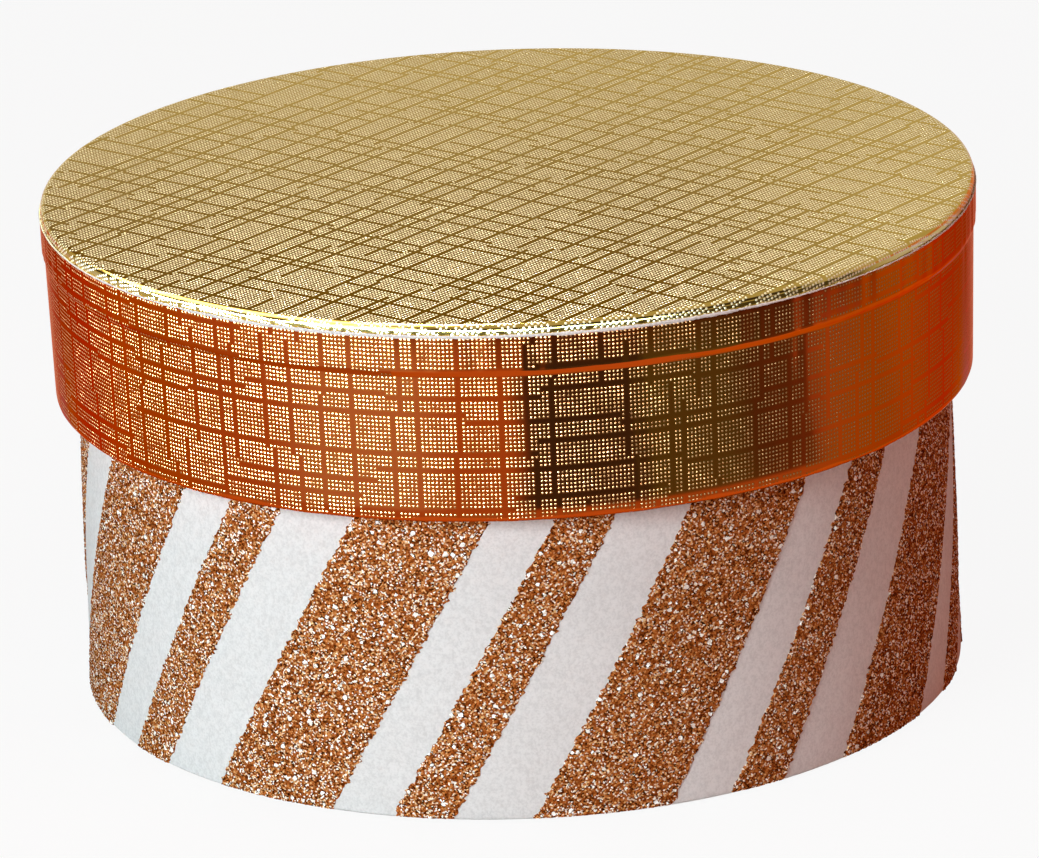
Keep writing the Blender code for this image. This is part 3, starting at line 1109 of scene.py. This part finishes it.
roomCard = {  # standing round the front and the left, for the lid's fold and the glitter
    "reach": 1.3,
    "low": 0.1,
    "turn": (-125, 75),
    "steps": 40,
    "high": ((-80, -30), (0.5, 1.0)),  # rises between these two turns
    "colour": (0.10, 0.075, 0.04, 1),
}

glintCard = {  # a long low bright panel at the front left, for the band's dots
    "reach": 0.36,
    "low": 0.016,
    "high": 0.068,
    "turn": (-90, 34),
    "steps": 24,
    "fade": (0.15, -0.35, 0.15, 1.0),
    "colour": (205, 310, 450, 1),
}

sideCard = {  # on the floor at both sides and behind, for the band's outermost parts
    "near": 0.10,
    "far": 0.40,
    "turn": (84, 166),
    "steps": 24,
    "fade": (1.5, 1.75),
    "change": (2.0, 2.4),  # from pale to the colour
    "pale": (1.14, 1.3, 2.7, 1),
    "colour": (0.85, 0.27, 0.16, 1),
}

sideScreen = {  # low and upright at the right, for the dots at that end
    "reach": 0.42,
    "low": 0.0,
    "high": 0.13,
    "turn": (78, 152),
    "steps": 24,
    "fade": (1.38, 1.7),
    "colour": (1.2, 0.48, 0.3, 1),
}

backCard = {  # standing behind, for the top's smooth lines
    "left": -0.2,
    "right": 0.09,
    "place": 0.15,
    "low": 0.085,
    "high": 0.27,
    "lowFade": (0.087, 0.136),
    "rightFade": (0.070, 0.015),
    "colour": (0.30, 0.20, 0.04, 1),
}


def addArc(name, look, low, high, side=1):
    # a card round the object between two rows of points; each has a radius and a height, or two
    # turns and the heights there
    points = []
    steps = look["steps"]
    for turn in np.linspace(*look["turn"], steps + 1):
        angle = math.radians(side * turn)
        for radius, height in (low, high):
            level = np.interp(turn, *height) if isinstance(height, tuple) else height
            points.append((radius * math.sin(angle), -radius * math.cos(angle), level))
    return addCard(name, points, [(2 * i, 2 * i + 1, 2 * i + 3, 2 * i + 2) for i in range(steps)])


def turnAndReach(sheet):
    x, y, _ = sheet.parts(objectPlace(sheet))
    return x.maths("ARCTAN2", x, 0 - y), x.maths("SQRT", x * x + y * y)


def buildFrontCard():
    look = frontCard
    sheet = addArc("frontCard", look, (look["near"], cardLift), (look["far"], cardLift))
    angle, reach = turnAndReach(sheet)
    overTurn, overReach = look["raggedScale"]
    ragged = sheet.noise(sheet.vector(angle * overTurn, reach * overReach), 1.0, 3) - 0.5
    ragged = ragged * look["ragged"]
    end = sheet.ease(reach, *look["darkReach"])
    dark = sheet.ease(angle + ragged, *look["darkStart"])
    dark = dark * sheet.ease(angle + ragged - end, *look["darkEnd"])
    pale = sheet.ease(angle, *look["paleStart"]) * sheet.ease(angle, *look["paleEnd"]) * look["paleShare"]
    first, second = (sheet.ease(angle + ragged, start, full) * share
                     for start, full, share in look["farSteps"])
    far = sheet.ease(reach, *look["farReach"]) * (first + second)
    cover = (dark + pale).most(far * sheet.ease(angle, *look["farEnd"]))
    edges = cover * sheet.ease(reach, *look["nearFade"])
    overTurn, overReach = look["streakScale"]
    streak = sheet.noise(sheet.vector(angle * overTurn, reach * overReach, 2.5), 1.0, 4, 0.6) - 0.5
    streaks = sheet.ramp(angle / look["streakSpan"] + streak * look["streakShift"], look["streaks"])
    near = sheet.mix(angle < look["change"], streaks, look["pale"])
    closeCard(sheet, edges, sheet.mix(far, near, look["beyond"]))


def buildSideCard(side):
    look = sideCard
    sheet = addArc("sideCard", look, (look["near"], 1.5 * cardLift), (look["far"], 1.5 * cardLift), side)
    angle = abs(turnAndReach(sheet)[0])
    closeCard(sheet, sheet.ease(angle, *look["fade"]),
              sheet.mix(sheet.ease(angle, *look["change"]), look["pale"], look["colour"]))


def buildStandingCard(name, look):
    sheet = addArc(name, look, (look["reach"], look["low"]), (look["reach"], look["high"]))
    edges = sheet.ease(turnAndReach(sheet)[0], *look["fade"]) if "fade" in look else 1.0
    closeCard(sheet, edges, look["colour"])


def buildBackCard():
    look = backCard
    sides = [(look[x], look["place"], look[z]) for z in ("low", "high") for x in ("left", "right")]
    sheet = addCard("backCard", sides, [(0, 1, 3, 2)])
    x, _, z = sheet.parts(objectPlace(sheet))
    closeCard(sheet, sheet.ease(z, *look["lowFade"]) * sheet.ease(x, *look["rightFade"]), look["colour"])


def buildCards():
    buildFrontCard()
    buildStandingCard("roomCard", roomCard)
    buildStandingCard("glintCard", glintCard)
    for side in (-1, 1):
        buildSideCard(side)
    buildStandingCard("sideScreen", sideScreen)
    buildBackCard()


lamps = {  # notIn leaves a lamp out of reflections, or out of everything else
    "front": {"place": (-0.51, -0.66, 0.39), "target": (0, 0, 0.04), "size": (0.42, 0.42),
              "power": 6.85, "colour": (0.862, 0.95, 0.98)},
    "overhead": {"place": (0, -0.055, 0.19), "target": (0, -0.055, 0), "size": (0.08, 0.08),
                 "power": 0.12, "colour": (1.0, 0.98, 0.95), "notIn": "glossy"},
    "glint": {"place": (-0.03, 0.135, 0.343), "target": (0, -0.03, 0.065), "size": (0.05, 0.05),
              "power": 3.4, "colour": (1.0, 0.99, 0.96), "notIn": "diffuse"},
    "sheen": {"place": (-0.62, 0.12, 0.86), "target": (0, 0, 0.06), "size": (1.15, 0.8),
              "power": 30.0, "colour": (1.0, 1.0, 1.0), "notIn": "diffuse",
              "along": (-0.58, 0.72, -0.4)},
}


def addLamp(name, look):
    lamp = bpy.data.lights.new(name, "AREA")
    lamp.shape = "RECTANGLE"
    lamp.size, lamp.size_y = look["size"]
    lamp.energy = look["power"]
    lamp.color = look["colour"]
    holder = addObject(name, lamp)
    along = Vector(look.get("along", (1, 0, 0)))
    back = (Vector(look["place"]) - Vector(look["target"])).normalized()
    side = (along - back * back.dot(along)).normalized()
    turned = Matrix((side, back.cross(side), back)).transposed()
    holder.matrix_world = Matrix.Translation(look["place"]) @ turned.to_4x4()
    holder.visible_camera = False
    if "notIn" in look:
        setattr(holder, "visible_" + look["notIn"], False)


def buildLight():
    world = bpy.data.worlds.new("studio")
    bpy.context.scene.world = world
    world.use_nodes = True
    world.cycles.sampling_method = "NONE"
    sheet = NodeSheet(world.node_tree)
    x, y, _ = sheet.parts(sheet.add("ShaderNodeTexCoord", output="Generated"))
    shareX, shareY = studio["rightHeading"]
    side = sheet.ease(x * shareX + y * shareY, *studio["rightReach"])
    soft = sheet.mix(side, studio["front"], studio["right"])
    lit = sheet.add("ShaderNodeBackground", None, {"Color": soft, "Strength": 1.0})
    white = sheet.add("ShaderNodeBackground", None, {"Color": studio["white"], "Strength": 1.0})
    sheet.close(seenShare(sheet), lit, white, "World")
    for name, look in lamps.items():
        addLamp(name, look)


view = {  # fitted to the photo's outlines
    "elevation": 0.33597,
    "roll": -0.03976,
    "distance": 0.86063,
    "target": (0, 0, 0.03275),
    "lens": 230.09,
    "sensor": 36,
    "shift": (0.0031, -0.0100),
}


def buildCamera():
    elevation = view["elevation"]
    roll = view["roll"]
    back = Vector((0, -math.cos(elevation), math.sin(elevation)))
    right = Vector((1, 0, 0))
    up = back.cross(right)
    leanRight = right * math.cos(roll) + up * math.sin(roll)
    leanUp = up * math.cos(roll) - right * math.sin(roll)
    optics = bpy.data.cameras.new("camera")
    optics.lens = view["lens"]
    optics.sensor_width = view["sensor"]
    optics.shift_x, optics.shift_y = view["shift"]
    camera = addObject("camera", optics)
    turned = Matrix((leanRight, leanUp, back)).transposed()
    camera.matrix_world = Matrix.Translation(
        Vector(view["target"]) + back * view["distance"]) @ turned.to_4x4()
    bpy.context.scene.camera = camera


buildFloor()
buildCards()
buildLight()
buildCamera()
bpy.context.scene.view_settings.view_transform = "Standard"
print("stage made")
